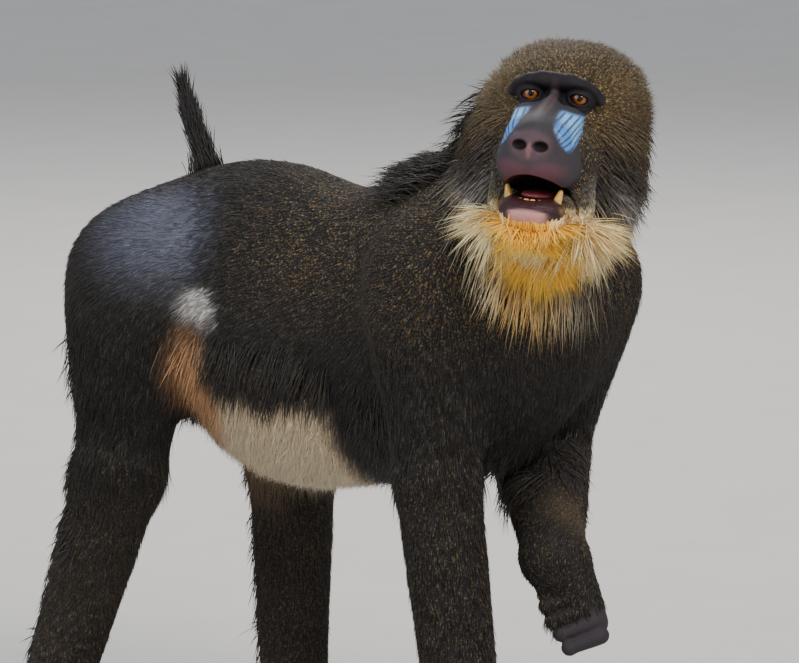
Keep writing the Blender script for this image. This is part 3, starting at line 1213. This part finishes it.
# Eyes: wet dark brown balls that fill the sockets behind the lids, each with an amber iris, a small pupil, a
# dark rim and a low rounded swell in front.
EYE_RADIUS = 0.0105
IRIS_RADIUS = 0.0056
PUPIL_RADIUS = 0.0024
GAZE = unit(np.array((0.10, -1.0, 0.03)))
WHITE_COLOUR = (0.016, 0.010, 0.009)


def round_grid(name, across, down, shape, material):
    """A closed grid like a globe's: shape gives points from the angle round and the angle from the pole."""
    around = np.linspace(0.0, 2.0 * math.pi, across, endpoint=False)
    polar = np.linspace(0.0, math.pi, down)[1:-1]
    spin, tilt = np.meshgrid(around, polar)
    points = np.concatenate([shape(np.zeros(1), np.zeros(1)), shape(spin.ravel(), tilt.ravel()),
                             shape(np.zeros(1), np.full(1, math.pi))])
    row = np.arange(across)
    after = (row + 1) % across
    rows = (np.arange(len(polar) - 1) * across)[:, None] + 1
    fours = np.stack([rows + row, rows + after, rows + across + after, rows + across + row], axis=-1)
    fours = fours.reshape(-1, 4)[:, ::-1]
    last = len(points) - 1
    base = 1 + (len(polar) - 1) * across
    threes = np.concatenate([np.stack([np.zeros(across, int), row + 1, after + 1], axis=1)[:, ::-1],
                             np.stack([base + row, np.full(across, last), base + after], axis=1)[:, ::-1]])
    return add_piece(name, points, [threes, fours], material)


def recalculated(piece):
    """Turns a closed mesh's faces outwards."""
    bm = bmesh.new()
    bm.from_mesh(piece.data)
    bmesh.ops.recalc_face_normals(bm, faces=bm.faces)
    bm.to_mesh(piece.data)
    bm.free()
    return piece


for side, sign in (("r", -1.0), ("l", 1.0)):
    centre = np.array((sign * HALF_EYES, EYE_DEPTH, 0.0))
    gaze_side = unit(np.cross(GAZE, np.array((0.0, 0.0, 1.0))))
    gaze_up = np.cross(gaze_side, GAZE)

    def eyeball(spin, tilt):
        """A ball about the gaze whose radius rises by 0.6 mm to the front, as the clear swell there."""
        radius = EYE_RADIUS - 0.0004 + 0.0006 * ease(tilt, 0.62, 0.10)
        ring = np.sin(tilt) * radius
        local = (GAZE * (np.cos(tilt) * radius)[:, None] + gaze_side * (np.cos(spin) * ring)[:, None]
                 + gaze_up * (np.sin(spin) * ring)[:, None])
        return from_head(centre + local)

    eye_material, tree, shader = start_material("eye " + side, Roughness=0.10, Specular_IOR_Level=0.25,
                                                Coat_Weight=0.4, Coat_Roughness=0.02)
    place = node(tree, "ShaderNodeTexCoord", output=3)
    middle = from_head(centre) + SHIFT
    axis = HEAD_TURN @ GAZE
    offset = node(tree, "ShaderNodeVectorMath", {"operation": "SUBTRACT"}, {0: place, 1: tuple(middle)})
    ahead = node(tree, "ShaderNodeVectorMath", {"operation": "DOT_PRODUCT"}, {0: offset, 1: tuple(axis)}, 1)
    reach = node(tree, "ShaderNodeVectorMath", {"operation": "LENGTH"}, {0: offset}, 1)
    ring = (reach * reach - ahead * ahead).maths("MAXIMUM", 0.0).maths("SQRT")
    straight = node(tree, "ShaderNodeVectorMath", {"operation": "SCALE"}, {0: tuple(axis), "Scale": ahead})
    spoke = node(tree, "ShaderNodeVectorMath", {"operation": "NORMALIZE"},
                 {0: node(tree, "ShaderNodeVectorMath", {"operation": "SUBTRACT"}, {0: offset, 1: straight})})
    fibres = noise(tree, spoke, 9.0, 4.0, Roughness=0.7)
    front = ahead.smooth(-0.001, 0.001)
    iris = mix(tree, fibres.smooth(0.35, 0.65), (0.150, 0.036, 0.004), (0.34, 0.105, 0.012))
    iris = mix(tree, ring.smooth(IRIS_RADIUS * 0.70, IRIS_RADIUS * 0.98), iris, (0.022, 0.007, 0.003))
    iris = mix(tree, ring.smooth(PUPIL_RADIUS * 1.25, PUPIL_RADIUS * 0.95), iris, (0.002, 0.002, 0.002))
    rim = mix(tree, ring.smooth(IRIS_RADIUS * 0.97, IRIS_RADIUS * 1.06), iris, WHITE_COLOUR)
    feed(shader, "Base Color", mix(tree, front, WHITE_COLOUR, rim))
    eye = recalculated(round_grid("eyeball_" + side, 40, 28, eyeball, eye_material))
    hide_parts("eye_" + side)


# Mouth: a low wet tongue with a furrow in the floor of the jaw, two stained lower canines that curve up and
# out, and a row of four small incisors, all rooted in the jaw.
TONGUE_STEP = 0.0010


def tongue_field(points):
    """A flat tongue with a shallow furrow down its middle."""
    d = ball(points, (0, -0.026, -0.0800), (0.0135, 0.030, 0.0050))
    return d + 0.0006 * np.exp(-(points[..., 0] / 0.0018) ** 2)


tongue_points, tongue_faces = surface_net(tongue_field, (-0.02, -0.062, -0.090), (0.02, 0.010, -0.070),
                                          TONGUE_STEP)
tongue_material, tree, shader = start_material("tongue", Roughness=0.30, Coat_Weight=0.5)
place = node(tree, "ShaderNodeTexCoord", output=3)
buds = node(tree, "ShaderNodeTexVoronoi", (), {"Vector": place, "Scale": 1100.0})
patchy = noise(tree, place, 150.0, 3.0)
feed(shader, "Base Color", mix(tree, patchy, (0.16, 0.020, 0.028), (0.34, 0.070, 0.085)))
bump = node(tree, "ShaderNodeBump", (), {"Height": buds, "Distance": 0.0004, "Strength": 0.6})
feed(shader, "Normal", bump)
tongue = add_piece("tongue_surface", from_head(tongue_points), tongue_faces, tongue_material)
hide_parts("tongue")

tooth_material, tree, shader = start_material("enamel", Roughness=0.22, Coat_Weight=0.4)
place = node(tree, "ShaderNodeTexCoord", output=3)
stain = noise(tree, place, 260.0, 4.0)
cracks = noise(tree, place, 700.0, 2.0)
feed(shader, "Base Color", mix(tree, stain.smooth(0.35, 0.75), (0.62, 0.36, 0.075), (0.44, 0.23, 0.035)))
feed(shader, "Roughness", 0.18 + cracks * 0.16)


def rounded(share):
    """A quarter circle's height: sqrt(1 - (1 - share)^2), and 1 past its end."""
    return np.sqrt(np.clip(1.0 - (1.0 - np.minimum(1.0, share)) ** 2, 0, 1))


for side, sign in (("r", -1.0), ("l", 1.0)):
    outward = Matrix.Rotation(math.radians(14) * sign, 3, "Y")
    lean = np.array(outward @ Matrix.Rotation(math.radians(6), 3, "X"))
    middle = np.array((sign * 0.0200, -0.0490, -0.0820))

    def fang(spin, tilt):
        """A cone that narrows by a power of its height, bows back, and closes round at both ends."""
        height = 0.5 - 0.5 * np.cos(tilt)
        radius = 0.0043 * (1.0 - 0.62 * (1.0 - height) ** 2.0) * rounded((1 - height) / 0.06)
        radius = radius * rounded(height / 0.10)
        local = np.stack([np.cos(spin) * radius, np.sin(spin) * radius * 1.15 + 0.0016 * (1.0 - height) ** 2,
                          0.0095 - 0.0205 * height], axis=1)
        return from_head(middle + local @ lean.T)

    fang_piece = recalculated(round_grid("canine_surface_" + side, 20, 24, fang, tooth_material))
    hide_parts("canine_" + side)


def squared(angle, power):
    """Cosine with its corners squared out by a power."""
    value = np.cos(angle)
    return np.sign(value) * np.abs(value) ** power


def incisor(spin, tilt):
    """A rounded block: the ball's sines and cosines raised to a low power."""
    ring = np.abs(np.sin(tilt)) ** 0.45
    return np.stack([squared(spin, 0.5) * ring * 0.0025, squared(spin - math.pi / 2, 0.5) * ring * 0.0017,
                     squared(tilt, 0.5) * 0.0048], axis=1)


for number, across in enumerate((-0.0078, -0.0026, 0.0026, 0.0078)):
    middle = np.array((across, -0.0625 + 25.0 * across * across, -0.0868))
    block = round_grid("incisor_" + str(number), 16, 12,
                       lambda spin, tilt: from_head(incisor(spin, tilt) + middle), tooth_material)
    recalculated(block)
    if number == 0:
        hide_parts("incisors")


# Nails: flat dark horn plates, arched over the ends of fingers and toes and set into the skin. The feet are
# out of the photograph's view, so their nails are as the species has them.
UP = (0, 0, 1)
nail_material, tree, shader = start_material("horn", Roughness=0.35)
place = node(tree, "ShaderNodeTexCoord", output=3)
grain = noise(tree, place, 600.0, 3.0)
feed(shader, "Base Color", mix(tree, grain, (0.020, 0.017, 0.016), (0.095, 0.080, 0.070)))
feed(shader, "Roughness", 0.30 + grain * 0.25)


def add_nail(name, tip, ahead, above, width):
    """A thin curved plate on top of a finger's end: a squared ball, pressed flat and arched over it."""
    ahead = unit(np.array(ahead, float))
    above = unit(np.array(above, float) - ahead * np.dot(above, ahead))
    beside = np.cross(ahead, above)

    def plate(spin, tilt):
        """Across, along and thickness of the plate, bent down at its sides."""
        ring = np.abs(np.sin(tilt)) ** 0.7
        across = squared(spin, 0.8) * ring
        along = squared(tilt, 0.8)
        rise = squared(spin - math.pi / 2, 0.8) * ring * 0.0007 - 0.0016 * across ** 2 - 0.0006 * along ** 2
        return (np.asarray(tip) + beside * (across * width)[:, None] + ahead * (along * 0.0050)[:, None]
                + above * rise[:, None])

    nail = recalculated(round_grid(name, 14, 12, plate, nail_material))


for side in "rl":
    for number, offset in enumerate(TOES):
        _, middle, tip = toe(side, offset)
        top = tip + (0, -0.0022, TOE_RADIUS - 0.0022)
        add_nail(f"toenail_{side}_{number}", top, tip - middle, UP, 0.0042)
    inward = INWARD[side]
    top = np.array(ANKLE[side]) + (inward * 0.0495, -0.0715, -0.053 + 0.0068)
    add_nail(f"toenail_{side}_4", top, (inward * 0.3, -1.0, -0.25), UP, 0.0050)
for number, offset in enumerate(FINGERS):
    top = finger(offset)[2] + (0, -0.0020, FINGER_RADIUS - 0.0016)
    add_nail(f"fingernail_r_{number}", top, (0, -1, -0.10), UP, 0.0038)
top = np.array(WRIST["r"]) + (0.034, -0.036, -0.0735 + 0.0060)
add_nail("fingernail_r_4", top, (0.45, -0.6, -0.4), (0.3, -0.1, 1), 0.0036)
outward = unit(FINGERS_ALONG)
for number, (_, middle, tip) in enumerate(raised_fingers()):
    top = tip + outward * 0.0046 - PALM_OUT * 0.001
    add_nail(f"fingernail_l_{number}", top, tip - middle, outward, 0.0036)
